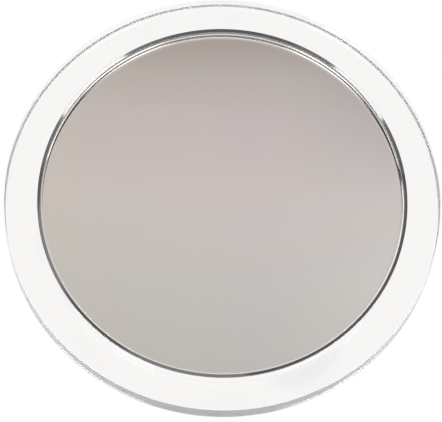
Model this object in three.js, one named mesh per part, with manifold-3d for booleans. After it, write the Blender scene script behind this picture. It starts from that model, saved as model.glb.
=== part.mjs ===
// A wall mirror that sticks to tiles: a concave mirror in a grey tray, held in a wide ring of clear
// acrylic, with three suction cups on studs behind the tray.
//
// Millimetres, +Z up. The mirror faces -Y, its axis is the Y axis, and the wall is the plane y = 0,
// so every depth is a negative y that grows towards the person who looks in.
import * as THREE from "three";
import { mergeVertices } from "three/addons/utils/BufferGeometryUtils.js";
import Module from "manifold-3d";

// Room left between two pieces that touch, and how far a cutter runs past what it cuts
const seatGap = 0.3;
const cutOverrun = 1;

// Clear ring
const ringOuterRadius = 76;
const ringFaceWidth = 11.7;
const ringThickness = 8;
const ringChamfer = 0.4;

// Mirror: slumped glass of one thickness, hollow towards the viewer
const glassThickness = 3;
const glassCurveRadius = 500;
const glassSeam = 0.3;
const glassRecessShare = 0.05; // of the ring's thickness, from its front face to the glass rim

// Gasket under the glass rim and foam behind its middle
const gasketWidth = 2.1;
const gasketThickness = 0.8;
const foamRadius = 28;
const foamThickness = 6.8;

// Tray: a thin rim round the glass, a ledge under it and a drafted bowl behind
const trayRimWall = 0.5;
const trayRimStandUp = 1.2;
const trayFloorThickness = 2.2;
const trayCornerRadius = 1.5;
const trayDraftShare = 0.4; // radius lost for each unit of depth
const foamRibWidth = 1.2;
const foamRibHeight = 1;
const backRecessRadius = 30;
const backRecessDepth = 0.5;
const collarWidth = 1.2;
const collarHeight = 1;

// Clear silicone bead in the corner between ring and tray
const beadWidth = 0.9;
const beadHeight = 0.9;

// Suction cups
const cupCount = 3;
const firstCupAngle = -1.007; // radians from +X towards +Z: one cup sits low on the viewer's right
const cupCircleShare = 0.766; // of the tray rim's radius
const cupRadius = 17.3;
const lipWidth = 1.8;
const lipThickness = 0.7;
const hollowDepth = 7;
const skirtWall = 1.2;
const skirtBulge = 0.85;
const skirtRootFillet = 1;
const hubWall = 1.6;
const hubFloor = 3;
const hubRoof = 11.3;
const flangeWidth = 2.5;
const flangeThickness = 2;

// Fasteners, M4
const studRadius = 2;
const studHeadRadius = 3.6;
const studHeadThickness = 1.4;
const studEndChamfer = 0.3;
const studStandOut = 0.4;
const washerRadius = 4.5;
const washerThickness = 0.8;
const nutAcrossFlats = 7;
const nutThickness = 2.2;

// Sides of the round pieces and steps of the curved outlines
const ringSides = 96;
const traySides = 80;
const glassSides = 80;
const foamSides = 48;
const cupSides = 32;
const studSides = 16;
const washerSides = 24;
const nutSides = 6;
const glassSteps = 6;
const foamSteps = 3;
const hollowSteps = 5;
const skirtSteps = 5;
const cornerSteps = 3;

// Radii, from the outside in
const ringBoreRadius = ringOuterRadius - ringFaceWidth;
const trayRimRadius = ringBoreRadius - seatGap;
const trayRimInnerRadius = trayRimRadius - trayRimWall;
const glassRadius = trayRimInnerRadius - seatGap;
const gasketInnerRadius = glassRadius - gasketWidth;
const ledgeInnerRadius = gasketInnerRadius - seatGap;
const cupCircleRadius = trayRimRadius * cupCircleShare;
const hollowRadius = cupRadius - lipWidth;
const studHoleRadius = studRadius + seatGap;
const pocketRadius = studHeadRadius + seatGap;
const hubRadius = pocketRadius + hubWall;
const flangeRadius = hubRadius + flangeWidth;

// Depths, from the wall out: cup, stud and nut
const pocketFloorY = -(hollowDepth + hubFloor);
const studHeadBackY = pocketFloorY - seatGap;
const studHeadFrontY = studHeadBackY - studHeadThickness;
const pocketRoofY = studHeadFrontY - seatGap;
const cupTopY = pocketRoofY - hubRoof;
const flangeBackY = cupTopY + flangeThickness;
const trayBackY = cupTopY - seatGap;
const trayFloorY = trayBackY - trayFloorThickness;
const washerBackY = trayFloorY - seatGap;
const washerFrontY = washerBackY - washerThickness;
const nutBackY = washerFrontY - seatGap;
const nutFrontY = nutBackY - nutThickness;
const studEndY = nutFrontY - studStandOut;

// Depths, from the tray's floor out: foam, glass and ring
const foamBackY = trayFloorY - seatGap;
const glassBackCentreY = foamBackY - foamThickness - seatGap;
const glassFrontCentreY = glassBackCentreY - glassThickness;
const glassRimY = glassFrontCentreY - sagAt(glassRadius);
const ringFrontY = glassRimY - ringThickness * glassRecessShare;
const ringBackY = ringFrontY + ringThickness;
const gasketFrontY = glassBackCentreY - sagAt(gasketInnerRadius) + seatGap;
const gasketBackY = gasketFrontY + gasketThickness;
const ledgeY = gasketBackY + seatGap;
const trayRimFrontY = glassRimY - trayRimStandUp;

const kernel = await Module();
kernel.setup();

// How far the curved glass has come forward at this distance from its axis
function sagAt(radius) {
  return glassCurveRadius - Math.sqrt(glassCurveRadius ** 2 - radius ** 2);
}

// The tray's outside radius at this depth behind the ring
function trayOutsideAt(y) {
  return trayRimRadius - Math.max(y - ringBackY, 0) * trayDraftShare;
}

function finish(color, roughness, metalness, opacity = 1) {
  return new THREE.MeshStandardMaterial({ color, roughness, metalness, opacity, transparent: opacity < 1 });
}

const clearAcrylic = finish(0xf6f5f4, 0.05, 0, 0.35);
const silveredGlass = finish(0xc9c4bf, 0.03, 1);
const greyPlastic = finish(0x55565a, 0.42, 0);
const blackRubber = finish(0x2b2b2c, 0.8, 0);
const greyFoam = finish(0x55575a, 0.95, 0);
const clearSilicone = finish(0xe9eceb, 0.25, 0, 0.5);
const softVinyl = finish(0xdfe7ef, 0.2, 0, 0.55);
const plainSteel = finish(0xb9bcc0, 0.3, 0.9);

// Steps along an arc or a curve, from its start to its end
function along(steps, pointAt) {
  return Array.from({ length: steps + 1 }, (_, step) => pointAt(step / steps));
}

// A quarter round of a section, about its centre
function cornerArc(centreRadius, centreY, radius, startAngle) {
  return along(cornerSteps, (share) => {
    const angle = startAngle + (share * Math.PI) / 2;
    return [centreRadius + radius * Math.cos(angle), centreY + radius * Math.sin(angle)];
  });
}

// Turns a section, given as [radius, y] points anticlockwise, round the Y axis
function turned(section, sides) {
  const points = section.map(([radius, y]) => new THREE.Vector2(radius, y));
  return new THREE.LatheGeometry(points, sides);
}

// The same for a section that doesn't reach the axis, closed on its first point
function turnedRing(section, sides) {
  return turned([...section, section[0]], sides);
}

function toSolid(geometry) {
  const bare = geometry.clone();
  bare.deleteAttribute("normal");
  bare.deleteAttribute("uv");
  const merged = mergeVertices(bare);
  return new kernel.Manifold(
    new kernel.Mesh({
      numProp: 3,
      vertProperties: new Float32Array(merged.attributes.position.array),
      triVerts: new Uint32Array(merged.index.array),
    }),
  );
}

function toGeometry(solid) {
  const { vertProperties, triVerts } = solid.getMesh();
  const geometry = new THREE.BufferGeometry();
  geometry.setAttribute("position", new THREE.BufferAttribute(vertProperties, 3));
  geometry.setIndex(new THREE.BufferAttribute(triVerts, 1));
  geometry.computeVertexNormals();
  return geometry;
}

// Flat ring with a small polished chamfer on each of its four edges
function ringGeometry() {
  return turnedRing(
    [
      [ringBoreRadius + ringChamfer, ringFrontY],
      [ringOuterRadius - ringChamfer, ringFrontY],
      [ringOuterRadius, ringFrontY + ringChamfer],
      [ringOuterRadius, ringBackY - ringChamfer],
      [ringOuterRadius - ringChamfer, ringBackY],
      [ringBoreRadius + ringChamfer, ringBackY],
      [ringBoreRadius, ringBackY - ringChamfer],
      [ringBoreRadius, ringFrontY + ringChamfer],
    ],
    ringSides,
  );
}

// Both faces share one curve, and the front edge is seamed
function glassGeometry() {
  const seamRadius = glassRadius - glassSeam;
  const front = along(glassSteps, (share) => {
    const radius = seamRadius * share;
    return [radius, glassFrontCentreY - sagAt(radius)];
  });
  const back = along(glassSteps, (share) => {
    const radius = glassRadius * (1 - share);
    return [radius, glassBackCentreY - sagAt(radius)];
  });
  return turned([...front, [glassRadius, glassRimY + glassSeam], ...back], glassSides);
}

function gasketGeometry() {
  return turnedRing(
    [
      [gasketInnerRadius, gasketFrontY],
      [glassRadius, gasketFrontY],
      [glassRadius, gasketBackY],
      [gasketInnerRadius, gasketBackY],
    ],
    glassSides,
  );
}

// Disc of foam whose front follows the back of the glass
function foamGeometry() {
  const front = along(foamSteps, (share) => {
    const radius = foamRadius * share;
    return [radius, glassBackCentreY - sagAt(radius) + seatGap];
  });
  return turned([...front, [foamRadius, foamBackY], [0, foamBackY]], foamSides);
}

// Silicone with one face to the ring, one to the tray's drafted wall and a sloped one to the back
function beadGeometry() {
  const frontY = ringBackY + seatGap;
  const backY = frontY + beadHeight;
  const frontRadius = trayOutsideAt(frontY) + seatGap;
  return turnedRing(
    [
      [frontRadius, frontY],
      [frontRadius + beadWidth, frontY],
      [trayOutsideAt(backY) + seatGap, backY],
    ],
    traySides,
  );
}

// The tray's section: floor, foam rib, drafted inside, ledge, rim, and the outside back to the axis,
// with a shallow round recess in the middle of the back
function trayGeometry() {
  const ribInnerRadius = foamRadius + seatGap;
  const ribOuterRadius = ribInnerRadius + foamRibWidth;
  const ribTopY = trayFloorY - foamRibHeight;
  const floorRadius = ledgeInnerRadius - (trayFloorY - ledgeY) * trayDraftShare;
  const cornerY = trayBackY - trayCornerRadius;
  const cornerCentreRadius = trayOutsideAt(cornerY) - trayCornerRadius;
  return turned(
    [
      [0, trayFloorY],
      [ribInnerRadius, trayFloorY],
      [ribInnerRadius, ribTopY],
      [ribOuterRadius, ribTopY],
      [ribOuterRadius, trayFloorY],
      [floorRadius, trayFloorY],
      [ledgeInnerRadius, ledgeY],
      [trayRimInnerRadius, ledgeY],
      [trayRimInnerRadius, trayRimFrontY],
      [trayRimRadius, trayRimFrontY],
      [trayRimRadius, ringBackY],
      ...cornerArc(cornerCentreRadius, cornerY, trayCornerRadius, 0),
      [backRecessRadius, trayBackY],
      [backRecessRadius, trayBackY - backRecessDepth],
      [0, trayBackY - backRecessDepth],
    ],
    traySides,
  );
}

// Flange that bears on the tray, hub with a pocket for the stud's head, and a skirt that thins
// towards its flat lip
function cupGeometry() {
  const hollow = along(hollowSteps, (share) => {
    return [hollowRadius * (1 - share), -hollowDepth * (1 - (1 - share) ** 2)];
  });
  const rise = hollowDepth + skirtWall - lipThickness;
  const rootRadius = hubRadius + skirtRootFillet;
  const skirt = along(skirtSteps, (share) => {
    const radius = rootRadius + (cupRadius - rootRadius) * share;
    return [radius, -lipThickness - rise * (1 - share) ** skirtBulge];
  });
  return turned(
    [
      [0, pocketFloorY],
      [pocketRadius, pocketFloorY],
      [pocketRadius, pocketRoofY],
      [studHoleRadius, pocketRoofY],
      [studHoleRadius, cupTopY],
      [flangeRadius, cupTopY],
      [flangeRadius, flangeBackY],
      [hubRadius, flangeBackY],
      [hubRadius, -(hollowDepth + skirtWall + skirtRootFillet)],
      ...skirt,
      [cupRadius, 0],
      ...hollow,
    ],
    cupSides,
  );
}

function studGeometry() {
  return turned(
    [
      [0, studEndY],
      [studRadius - studEndChamfer, studEndY],
      [studRadius, studEndY + studEndChamfer],
      [studRadius, studHeadFrontY],
      [studHeadRadius, studHeadFrontY],
      [studHeadRadius, studHeadBackY],
      [0, studHeadBackY],
    ],
    studSides,
  );
}

function washerGeometry() {
  return turnedRing(
    [
      [studHoleRadius, washerFrontY],
      [washerRadius, washerFrontY],
      [washerRadius, washerBackY],
      [studHoleRadius, washerBackY],
    ],
    washerSides,
  );
}

// Hexagonal nut with a plain bore, extruded along +Y from its front face
function nutGeometry() {
  const cornerRadius = nutAcrossFlats / 2 / Math.cos(Math.PI / nutSides);
  const outline = new THREE.Shape();
  for (let side = 0; side < nutSides; side++) {
    const angle = (2 * Math.PI * side) / nutSides;
    const corner = [cornerRadius * Math.cos(angle), cornerRadius * Math.sin(angle)];
    side === 0 ? outline.moveTo(...corner) : outline.lineTo(...corner);
  }
  outline.closePath();
  outline.holes.push(new THREE.Path().absarc(0, 0, studHoleRadius, 0, 2 * Math.PI, true));
  const prism = new THREE.ExtrudeGeometry(outline, {
    depth: nutThickness,
    bevelEnabled: false,
    curveSegments: studSides / 2,
  });
  return prism.rotateX(-Math.PI / 2).translate(0, nutFrontY, 0);
}

// Centre of each cup's axis in the wall plane
const cupPlaces = Array.from({ length: cupCount }, (_, cup) => {
  const angle = firstCupAngle + (2 * Math.PI * cup) / cupCount;
  return new THREE.Vector3(cupCircleRadius * Math.cos(angle), 0, cupCircleRadius * Math.sin(angle));
});

// Low ring on the tray's back that centres a cup's flange
function collarGeometry() {
  const innerRadius = flangeRadius + seatGap;
  return turnedRing(
    [
      [innerRadius, trayBackY - cutOverrun],
      [innerRadius + collarWidth, trayBackY - cutOverrun],
      [innerRadius + collarWidth, trayBackY + collarHeight],
      [innerRadius, trayBackY + collarHeight],
    ],
    washerSides,
  );
}

// The tray with a collar and a hole through its floor at each cup
function finishedTray() {
  const length = trayFloorThickness + 2 * cutOverrun;
  const middleY = (trayFloorY + trayBackY) / 2;
  return cupPlaces.reduce((tray, place) => {
    const collar = collarGeometry().translate(place.x, place.y, place.z);
    const drill = new THREE.CylinderGeometry(studHoleRadius, studHoleRadius, length, washerSides);
    return tray.add(toSolid(collar)).subtract(toSolid(drill.translate(place.x, middleY, place.z)));
  }, toSolid(trayGeometry()));
}

const mirror = new THREE.Group();

function add(parent, name, geometry, material) {
  const mesh = new THREE.Mesh(geometry, material);
  mesh.name = name;
  parent.add(mesh);
}

add(mirror, "acrylic_ring", ringGeometry(), clearAcrylic);
add(mirror, "mirror_glass", glassGeometry(), silveredGlass);
add(mirror, "rim_gasket", gasketGeometry(), blackRubber);
add(mirror, "foam_pad", foamGeometry(), greyFoam);
add(mirror, "rear_tray", toGeometry(finishedTray()), greyPlastic);
add(mirror, "adhesive_bead", beadGeometry(), clearSilicone);

cupPlaces.forEach((place, index) => {
  const fixing = new THREE.Group();
  fixing.position.copy(place);
  mirror.add(fixing);
  add(fixing, `suction_cup_${index + 1}`, cupGeometry(), softVinyl);
  add(fixing, `stud_${index + 1}`, studGeometry(), plainSteel);
  add(fixing, `washer_${index + 1}`, washerGeometry(), plainSteel);
  add(fixing, `nut_${index + 1}`, nutGeometry(), plainSteel);
});

export default mirror;
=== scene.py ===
"""A round magnifying mirror in a wide clear ring, with suction cups behind it, dressed for the camera.

Metres, +Z up. The mirror looks along -Y, its axis is the Y axis, and the lips of the suction cups touch
the plane y = 0. Every surface of revolution here starts as a section: points of radius and depth y,
listed anticlockwise with the radius to the right and y upwards, so that the solid lies on their left.
"""

import logging
from dataclasses import dataclass, replace
from enum import Enum
from typing import NamedTuple, Sequence

import bpy
import numpy as np
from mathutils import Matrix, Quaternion, Vector


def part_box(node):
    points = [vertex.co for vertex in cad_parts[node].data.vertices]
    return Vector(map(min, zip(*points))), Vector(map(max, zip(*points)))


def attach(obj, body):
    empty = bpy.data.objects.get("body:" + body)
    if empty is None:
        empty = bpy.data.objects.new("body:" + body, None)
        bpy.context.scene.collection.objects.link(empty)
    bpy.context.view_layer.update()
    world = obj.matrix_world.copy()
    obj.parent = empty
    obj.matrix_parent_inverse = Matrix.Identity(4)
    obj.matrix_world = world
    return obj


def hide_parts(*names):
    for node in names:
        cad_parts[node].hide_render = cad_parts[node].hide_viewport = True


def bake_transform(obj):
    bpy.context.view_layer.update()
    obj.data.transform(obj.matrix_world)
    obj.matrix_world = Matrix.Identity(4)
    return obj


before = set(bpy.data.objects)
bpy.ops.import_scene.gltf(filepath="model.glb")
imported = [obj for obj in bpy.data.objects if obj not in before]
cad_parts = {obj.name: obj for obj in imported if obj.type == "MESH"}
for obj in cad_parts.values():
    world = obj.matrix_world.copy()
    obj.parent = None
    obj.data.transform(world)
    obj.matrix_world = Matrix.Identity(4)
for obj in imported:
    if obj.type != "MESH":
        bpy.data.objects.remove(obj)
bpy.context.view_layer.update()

log = logging.getLogger("mirror")

MM = 0.001
FULL_TURN = 2 * np.pi
SHARP_ANGLE = np.radians(30)
AXIS_REACH = 1e-9  # a section's point that is nearer to the axis than this is a pole
SEAT_GAP = 0.3 * MM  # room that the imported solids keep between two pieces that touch
TRAY_DRAFT = 0.4  # radius that the tray's walls lose for each unit of depth
ARC_STEPS = 9  # points of a shallow curve in a section
GASKET_WIDTH = 2.1 * MM
FLANGE_RADIUS = 8 * MM
STUD_RADIUS = 2 * MM
STUD_HEAD = 1.4 * MM  # thickness of the stud's head
CUP_NUMBERS = (1, 2, 3)
HEAD = "mirror_head"
WHITE = (1.0, 1.0, 1.0)
EVEN = (1.0, 1.0, 1.0)  # a pattern that isn't drawn out


class Slot(Enum):
    """The record's material slots."""

    ACRYLIC = "clear_acrylic"
    MIRROR = "silvered_glass"
    RUBBER = "black_rubber"
    FOAM = "grey_foam"
    PLASTIC = "grey_plastic"
    SILICONE = "clear_silicone"
    VINYL = "clear_vinyl"
    STEEL = "plated_steel"


class Shade:
    """One output socket of a node tree, with the sums that its materials use."""

    def __init__(self, bench: "Bench", socket: bpy.types.NodeSocket) -> None:
        """Keeps the socket and the bench that adds nodes to its tree."""
        self.bench = bench
        self.socket = socket

    def _math(self, operation: str, first: "Value", second: "Value") -> "Shade":
        """Adds one Math node that works on two values."""
        return self.bench.node("ShaderNodeMath", {"operation": operation}, {0: first, 1: second})

    def __add__(self, other: "Value") -> "Shade":
        """The sum of this value and another."""
        return self._math("ADD", self, other)

    __radd__ = __add__

    def __sub__(self, other: "Value") -> "Shade":
        """This value less another."""
        return self._math("SUBTRACT", self, other)

    def __rsub__(self, other: float) -> "Shade":
        """A number less this value, as in 1 - mask."""
        return self._math("SUBTRACT", other, self)

    def __mul__(self, other: "Value") -> "Shade":
        """The product of this value and another."""
        return self._math("MULTIPLY", self, other)

    __rmul__ = __mul__

    def __truediv__(self, other: "Value") -> "Shade":
        """This value divided by another."""
        return self._math("DIVIDE", self, other)

    def __rtruediv__(self, other: float) -> "Shade":
        """A number divided by this value."""
        return self._math("DIVIDE", other, self)

    def __neg__(self) -> "Shade":
        """This value with its sign turned."""
        return self._math("MULTIPLY", self, -1.0)

    def at_least(self, other: "Value") -> "Shade":
        """The larger of this value and another."""
        return self._math("MAXIMUM", self, other)


Value = Shade | float
Pair = tuple[float, float]
Triple = tuple[float, float, float]
Colour = Triple


class Bench:
    """Adds nodes to one node tree, by type, settings and inputs."""

    def __init__(self, owner: bpy.types.Material | bpy.types.World) -> None:
        """Takes over a node tree and empties it.

        Args:
            owner: The material or world that has the tree.
        """
        owner.use_nodes = True
        self.tree = owner.node_tree
        self.tree.nodes.clear()

    def bare_node(
        self, kind: str, settings: dict | None = None, inputs: dict | None = None
    ) -> bpy.types.Node:
        """Adds a node.

        Args:
            kind: The node's type.
            settings: Its properties; "stops" holds a ramp's (place, colour) pairs.
            inputs: A value, colour or Shade for each input, by name or place.

        Returns:
            The node.
        """
        node = self.tree.nodes.new(kind)
        for name, value in (settings or {}).items():
            if name == "stops":
                self._set_stops(node.color_ramp, value)
            else:
                setattr(node, name, value)
        for name, value in (inputs or {}).items():
            if isinstance(value, Shade):
                self.tree.links.new(value.socket, node.inputs[name])
            elif isinstance(value, tuple) and node.inputs[name].type == "RGBA":
                node.inputs[name].default_value = (*value, 1.0)
            else:
                node.inputs[name].default_value = value
        return node

    def node(
        self, kind: str, settings: dict | None = None, inputs: dict | None = None, output: str | int = 0
    ) -> Shade:
        """Adds a node as bare_node does, and returns one of its outputs."""
        return Shade(self, self.bare_node(kind, settings, inputs).outputs[output])

    def _set_stops(self, ramp: bpy.types.ColorRamp, stops: Sequence[tuple[float, Colour]]) -> None:
        """Gives a ramp its stops: the first two are there already, and the others are added.

        Args:
            ramp: The ramp of a new node.
            stops: The place and the colour of each stop.
        """
        for place, _ in stops[2:]:
            ramp.elements.new(place)
        for element, (place, colour) in zip(ramp.elements, stops):
            element.position = place
            element.color = (*colour, 1.0)

    def mix(self, factor: Value, first: Colour | Shade, second: Colour | Shade) -> Shade:
        """Blends two colours by a factor."""
        return self.node("ShaderNodeMix", {"data_type": "RGBA"}, {0: factor, 6: first, 7: second}, 2)

    def vector(self, operation: str, inputs: dict, output: str | int = 0) -> Shade:
        """Adds one Vector Math node."""
        return self.node("ShaderNodeVectorMath", {"operation": operation}, inputs, output)

    def place(self, stretch: Triple = EVEN) -> Shade:
        """The point in object coordinates. A small factor draws a pattern out along X, Y or Z."""
        point = self.node("ShaderNodeTexCoord", output="Object")
        return self.node("ShaderNodeMapping", inputs={"Vector": point, "Scale": stretch})

    def noise(self, size: float, detail: float = 3.0, stretch: Triple = EVEN) -> Shade:
        """Smooth noise from 0 to 1, whose blobs are about this size in metres."""
        inputs = {"Vector": self.place(stretch), "Scale": 1 / size, "Detail": detail}
        return self.node("ShaderNodeTexNoise", inputs=inputs)

    def spots(self, size: float) -> Shade:
        """Distance from 0 to 1 to the nearest of many points that lie about this far apart."""
        inputs = {"Vector": self.place(), "Scale": 1 / size}
        return self.node("ShaderNodeTexVoronoi", inputs=inputs, output="Distance")

    def span(self, value: Shade, low: float, high: float, start: float = 0.0, end: float = 1.0) -> Shade:
        """Carries a value from the range low..high to start..end, clamped."""
        inputs = {"Value": value, "From Min": low, "From Max": high, "To Min": start, "To Max": end}
        return self.node("ShaderNodeMapRange", {"clamp": True}, inputs)

    def relief(self, height: Shade, depth: float) -> Shade:
        """A normal that follows a height from 0 to 1 over this depth in metres."""
        return self.node("ShaderNodeBump", inputs={"Height": height, "Distance": depth, "Strength": 1.0})

    def rays(self) -> list[Shade]:
        """Masks of the rays from the camera, off something glossy and through something clear."""
        path = self.bare_node("ShaderNodeLightPath")
        return [Shade(self, path.outputs[f"Is {kind} Ray"]) for kind in ("Camera", "Glossy", "Transmission")]


@dataclass(frozen=True)
class Finish:
    """A surface whose tones, roughness and relief follow patterns from 0 to 1, and its material."""

    name: str
    tone: Colour  # where the pattern is 0
    second: Colour  # where it is 1
    size: float  # of the pattern's blobs
    detail: float = 3.0
    stretch: Triple = EVEN  # a small factor draws the pattern out along X, Y or Z
    spread: Pair = (0.0, 1.0)  # the stretch of the noise that the pattern makes 0 to 1 of
    rough: Pair = (0.5, 0.5)
    rough_over: Pair = (0.0, 1.0)  # where in the pattern the roughness has its first and second value
    depth: float = 0.0  # of the relief
    refraction: float = 1.5
    clearness: float = 0.0
    metallic: float = 0.0

    def material(self) -> bpy.types.Material:
        """Makes the finish's material at the first call, and finds it again at the next.

        Returns:
            The material.
        """
        made = bpy.data.materials.get(self.name)
        if made is None:
            made = bpy.data.materials.new(self.name)
            bench = Bench(made)
            bench.bare_node("ShaderNodeOutputMaterial", inputs={"Surface": self.surface(bench)})
        return made

    def surface(self, bench: Bench) -> Shade:
        """The shader that covers the piece."""
        return bench.node("ShaderNodeBsdfPrincipled", inputs=self.sockets(bench))

    def patterns(self, bench: Bench) -> Sequence[Shade]:
        """What the tones, the roughness and the relief follow: here, one noise."""
        noise = bench.noise(self.size, self.detail, self.stretch)
        return [bench.span(noise, *self.spread)] * 3

    def sockets(self, bench: Bench) -> dict:
        """Works out what the shader's inputs get.

        Args:
            bench: The bench of the material's tree.

        Returns:
            The values and links of the inputs, by name.
        """
        tones, grain, height = self.patterns(bench)
        inputs = {
            "Base Color": bench.mix(tones, self.tone, self.second),
            "Roughness": bench.span(grain, *self.rough_over, *self.rough),
            "IOR": self.refraction,
            "Transmission Weight": self.clearness,
            "Metallic": self.metallic,
        }
        if self.depth:
            inputs["Normal"] = bench.relief(height, self.depth)
        return inputs


@dataclass(frozen=True)
class MouldedPlastic(Finish):
    """Injection-moulded plastic with a fine spark-eroded texture, polished or not."""

    cloud: float = 22 * MM
    cloud_detail: float = 2.0
    cloud_share: float = 0.7
    gloss: float = 0.0
    gloss_roughness: float = 0.06
    shine: float = 0.5

    def patterns(self, bench: Bench) -> Sequence[Shade]:
        """Fine noise gives the texture, and wide noise the flow clouds of the moulding.

        Args:
            bench: The bench of the material's tree.

        Returns:
            What the tones, the roughness and the relief follow.
        """
        grain = bench.noise(self.size, self.detail)
        clouds = bench.noise(self.cloud, self.cloud_detail)
        return clouds * self.cloud_share + grain * (1 - self.cloud_share), grain, grain

    def sockets(self, bench: Bench) -> dict:
        """The shader's inputs, with a clear coat on a polished part."""
        coat = {"Coat Weight": self.gloss, "Coat Roughness": self.gloss_roughness}
        return super().sockets(bench) | coat | {"Specular IOR Level": self.shine}


@dataclass(frozen=True)
class SpongeRubber(Finish):
    """Sponge rubber with fine pores."""

    dust: float = 6 * MM

    def patterns(self, bench: Bench) -> Sequence[Shade]:
        """Cells give the pores, and wide noise a trace of dust."""
        pores = bench.spots(self.size)
        return bench.span(bench.noise(self.dust), *self.spread), pores, pores


@dataclass(frozen=True)
class OpenFoam(Finish):
    """Foam with open cells."""

    def patterns(self, bench: Bench) -> Sequence[Shade]:
        """Cells are deep in the middle of each spot, and painted dark there as the shade in the hollow."""
        return [bench.span(bench.spots(self.size), *self.spread)] * 3


@dataclass(frozen=True)
class SoftVinyl(Finish):
    """Clear soft vinyl, moulded smooth, whose skirt thins out towards the wall."""

    thin_at: float = 0.5 * MM  # from the wall
    full_at: float = 4 * MM
    thin_alpha: float = 0.15

    def sockets(self, bench: Bench) -> dict:
        """Adds an alpha that grows with the distance from the wall.

        Args:
            bench: The bench of the material's tree.

        Returns:
            The values and links of the shader's inputs, by name.
        """
        depth = bench.node("ShaderNodeSeparateXYZ", inputs={0: bench.place()}, output="Y")
        alpha = bench.span(-depth, self.thin_at, self.full_at, self.thin_alpha, 1.0)
        return super().sockets(bench) | {"Alpha": alpha}


@dataclass(frozen=True)
class PlatedMetal(Finish):
    """Turned metal under a slightly uneven plating."""

    mark: float = 0.12 * MM
    mark_detail: float = 2.0
    mark_stretch: Triple = (0.08, 1.0, 0.08)

    def patterns(self, bench: Bench) -> Sequence[Shade]:
        """Wide noise gives the plating, and noise that is fine along the axis the turning marks."""
        plating, _, _ = super().patterns(bench)
        return plating, plating, bench.noise(self.mark, self.mark_detail, self.mark_stretch)


@dataclass(frozen=True)
class StudioPaper(Finish):
    """Matte paper that the camera, metal and glass see lifted towards white, and far off quite white.

    Below the mirror enough of the matte surface is left to show its soft shadow.
    """

    near: float = 1.3
    far: float = 3.4
    near_lift: float = 0.6

    def surface(self, bench: Bench) -> Shade:
        """Blends the matte paper with a white glow, by the kind of ray and the distance.

        Args:
            bench: The bench of the material's tree.

        Returns:
            The blended shader.
        """
        grain, _, _ = self.patterns(bench)
        paper = bench.mix(grain, self.tone, self.second)
        matte = bench.node("ShaderNodeBsdfDiffuse", inputs={"Color": paper})
        glow = bench.node("ShaderNodeEmission", inputs={"Color": WHITE, "Strength": 1.0})
        camera, glossy, clear = bench.rays()
        away = bench.vector("LENGTH", {0: bench.place()}, "Value")
        lift = bench.span(away, self.near, self.far, self.near_lift, 1.0)
        seen = camera.at_least(glossy).at_least(clear) * lift
        return bench.node("ShaderNodeMixShader", inputs={0: seen, 1: matte, 2: glow})


MIDDLE = (0.3, 0.7)  # where most of a noise lies
ACRYLIC_REFRACTION = 1.49

# Cast acrylic as it comes from the mould: clear, faintly warm, with a few wiping marks.
CLEAR_SHEET = Finish(
    "acrylic_sheet_face",
    tone=(0.952, 0.946, 0.936),
    second=(0.938, 0.932, 0.923),
    size=18 * MM,
    detail=4.0,
    stretch=(1.0, 1.0, 0.35),
    spread=(0.45, 0.75),
    rough=(0.0, 0.012),
    refraction=ACRYLIC_REFRACTION,
    clearness=1.0,
)

# The sheet's cut edges: buffed, so fine lines run round them and light passes a little softened.
BORE_WALL = Finish(
    "acrylic_bore_wall",
    tone=(0.985, 0.985, 0.985),
    second=(0.96, 0.962, 0.965),
    size=0.25 * MM,
    detail=2.0,
    stretch=(0.01, 1.0, 0.01),
    rough=(0.01, 0.03),
    refraction=ACRYLIC_REFRACTION,
    clearness=1.0,
)
OUTER_WALL = replace(BORE_WALL, name="acrylic_outer_wall", rough=(0.05, 0.1))

# The sheet's back corner, taken off with fine paper: pale, and it lets little light through.
EASED_CORNER = Finish(
    "acrylic_eased_corner",
    tone=(0.84, 0.84, 0.84),
    second=(0.8, 0.8, 0.8),
    size=0.12 * MM,
    rough=(0.4, 0.6),
    rough_over=MIDDLE,
    refraction=ACRYLIC_REFRACTION,
    clearness=0.2,
)

# The mirror's clear front: hard and smooth, with the thinnest of wiping marks.
FLOAT_GLASS = Finish(
    "mirror_front_glass",
    tone=(0.985, 0.99, 0.985),
    second=(0.97, 0.975, 0.97),
    size=25 * MM,
    stretch=(1.0, 1.0, 0.3),
    spread=(0.5, 0.8),
    rough=(0.0, 0.006),
    refraction=1.52,
    clearness=1.0,
)

# Silver, a little warm, with faint patches: bright on the glass's back, dull where it laps its edge.
SILVER_COAT = Finish(
    "mirror_silver_coat",
    tone=(0.86, 0.835, 0.815),
    second=(0.84, 0.815, 0.795),
    size=30 * MM,
    detail=2.0,
    rough=(0.0, 0.004),
    metallic=1.0,
)
SILVER_LAP = replace(SILVER_COAT, name="mirror_silver_on_edge", rough=(0.0, 0.15))

# Dark lacquer brushed round the glass's edge, so that the silver can't tarnish from there.
EDGE_LACQUER = Finish(
    "mirror_edge_lacquer",
    tone=(0.05, 0.05, 0.048),
    second=(0.16, 0.16, 0.15),
    size=2.5 * MM,
    spread=(0.45, 0.8),
    rough=(0.35, 0.5),
)

# The tray's plastic, its polished dark rim, and the rim's inner edge, painted pale as a highlight.
MOULDED_PLASTIC = MouldedPlastic(
    "tray_moulded_plastic",
    tone=(0.085, 0.086, 0.092),
    second=(0.115, 0.116, 0.124),
    size=0.35 * MM,
    detail=4.0,
    rough=(0.34, 0.5),
    rough_over=MIDDLE,
    depth=0.025 * MM,
)
POLISHED_RIM = replace(
    MOULDED_PLASTIC,
    name="tray_polished_rim",
    tone=(0.022, 0.022, 0.023),
    second=(0.035, 0.035, 0.037),
    depth=0.0,
    gloss=1.0,
    shine=0.2,
)
# A pale glossy copy of the plastic: a painted highlight on the rim's inner wall.
PAINTED_HIGHLIGHT_EDGE = replace(
    MOULDED_PLASTIC,
    name="tray_painted_highlight_edge",
    tone=(0.38, 0.375, 0.37),
    second=(0.52, 0.515, 0.51),
    depth=0.0,
    gloss=1.0,
)

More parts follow.
